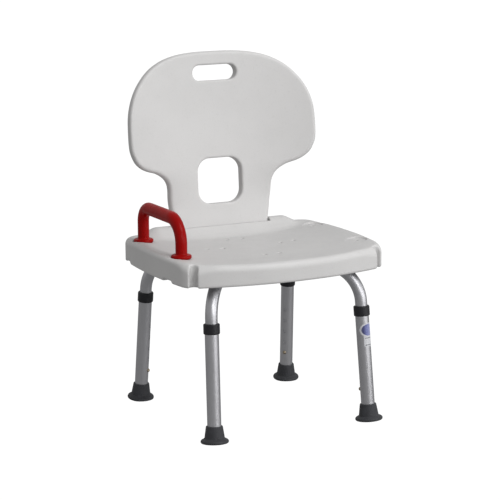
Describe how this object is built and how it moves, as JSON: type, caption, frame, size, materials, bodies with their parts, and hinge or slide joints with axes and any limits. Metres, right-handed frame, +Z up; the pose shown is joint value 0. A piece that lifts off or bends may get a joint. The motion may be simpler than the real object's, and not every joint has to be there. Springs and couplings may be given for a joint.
{
  "type": "shower stool",
  "caption": "Shower stool with a moulded seat, curved backrest, bent tube frame, height adjustable legs with snap buttons, rubber feet and a side safety handle.",
  "frame": {"origin": "on the floor, in the middle of the four feet", "axes": "+Z up, -Y the front of the seat, +Y the backrest side, +X to the right of a person facing the backrest; the safety handle is on the -X side"},
  "size_m": [0.475, 0.436, 0.7527],
  "materials": {
    "moulded_plastic": "light grey-white blow moulded polyethylene with a fine texture",
    "red_handle": "deep glossy red",
    "tube_alloy": "satin anodised",
    "tip_rubber": "dark grey moulded rubber",
    "black_plastic": "black moulded collar",
    "steel": "zinc plated or stainless",
    "brass_insert": "machined",
    "label": "plain printed oval sticker, no text"
  },
  "bodies": {
    "seat_frame": {"back_inserts": "brass_insert", "back_screws": "steel", "backrest_panel": "moulded_plastic", "button_spring_fl": "steel", "button_spring_fr": "steel", "button_spring_rl": "steel", "button_spring_rr": "steel", "crossing_bolt": "steel", "crossing_nut": "steel", "crossing_saddle": "black_plastic", "frame_tube_a": "tube_alloy", "frame_tube_b": "tube_alloy", "grab_handle": "red_handle", "handle_bolts": "steel", "handle_washers": "steel", "saddle_screws": "steel", "saddle_strap_fl": "steel", "saddle_strap_fr": "steel", "saddle_strap_rl": "steel", "saddle_strap_rr": "steel", "seat_shell": "moulded_plastic"},
    "leg_fl": {"foot_tip_fl": "tip_rubber", "leg_collar_fl": "black_plastic", "leg_tube_fl": "tube_alloy", "tip_washer_fl": "steel"},
    "leg_fr": {"foot_tip_fr": "tip_rubber", "leg_collar_fr": "black_plastic", "leg_label": "label", "leg_tube_fr": "tube_alloy", "tip_washer_fr": "steel"},
    "leg_rl": {"foot_tip_rl": "tip_rubber", "leg_collar_rl": "black_plastic", "leg_tube_rl": "tube_alloy", "tip_washer_rl": "steel"},
    "leg_rr": {"foot_tip_rr": "tip_rubber", "leg_collar_rr": "black_plastic", "leg_tube_rr": "tube_alloy", "tip_washer_rr": "steel"},
    "button_fl": {"snap_button_fl": "steel"},
    "button_fr": {"snap_button_fr": "steel"},
    "button_rl": {"snap_button_rl": "steel"},
    "button_rr": {"snap_button_rr": "steel"}
  },
  "joints": [
    {"name": "leg_fl_slide", "type": "slide", "parent": "seat_frame", "child": "leg_fl", "axis": [-0.027, -0.0971, -0.9949], "range_m": [0, 0.1016], "deforming": ["snap_button_fl"]},
    {"name": "leg_fr_slide", "type": "slide", "parent": "seat_frame", "child": "leg_fr", "axis": [0.027, -0.0971, -0.9949], "range_m": [0, 0.1016], "deforming": ["snap_button_fr"]},
    {"name": "leg_rl_slide", "type": "slide", "parent": "seat_frame", "child": "leg_rl", "axis": [-0.027, 0.0971, -0.9949], "range_m": [0, 0.1016], "deforming": ["snap_button_rl"]},
    {"name": "leg_rr_slide", "type": "slide", "parent": "seat_frame", "child": "leg_rr", "axis": [0.027, 0.0971, -0.9949], "range_m": [0, 0.1016], "deforming": ["snap_button_rr"]},
    {"name": "button_fl_press", "type": "slide", "parent": "seat_frame", "child": "button_fl", "axis": [-0.7075, -0.7013, 0.0877], "range_m": [0, 0.0052], "stiffness_N_per_m": 700, "deforming": ["button_spring_fl"]},
    {"name": "button_fr_press", "type": "slide", "parent": "seat_frame", "child": "button_fr", "axis": [0.7075, -0.7013, 0.0877], "range_m": [0, 0.0052], "stiffness_N_per_m": 700, "deforming": ["button_spring_fr"]},
    {"name": "button_rl_press", "type": "slide", "parent": "seat_frame", "child": "button_rl", "axis": [-0.7075, 0.7013, 0.0877], "range_m": [0, 0.0052], "stiffness_N_per_m": 700, "deforming": ["button_spring_rl"]},
    {"name": "button_rr_press", "type": "slide", "parent": "seat_frame", "child": "button_rr", "axis": [0.7075, 0.7013, 0.0877], "range_m": [0, 0.0052], "stiffness_N_per_m": 700, "deforming": ["button_spring_rr"]}
  ]
}
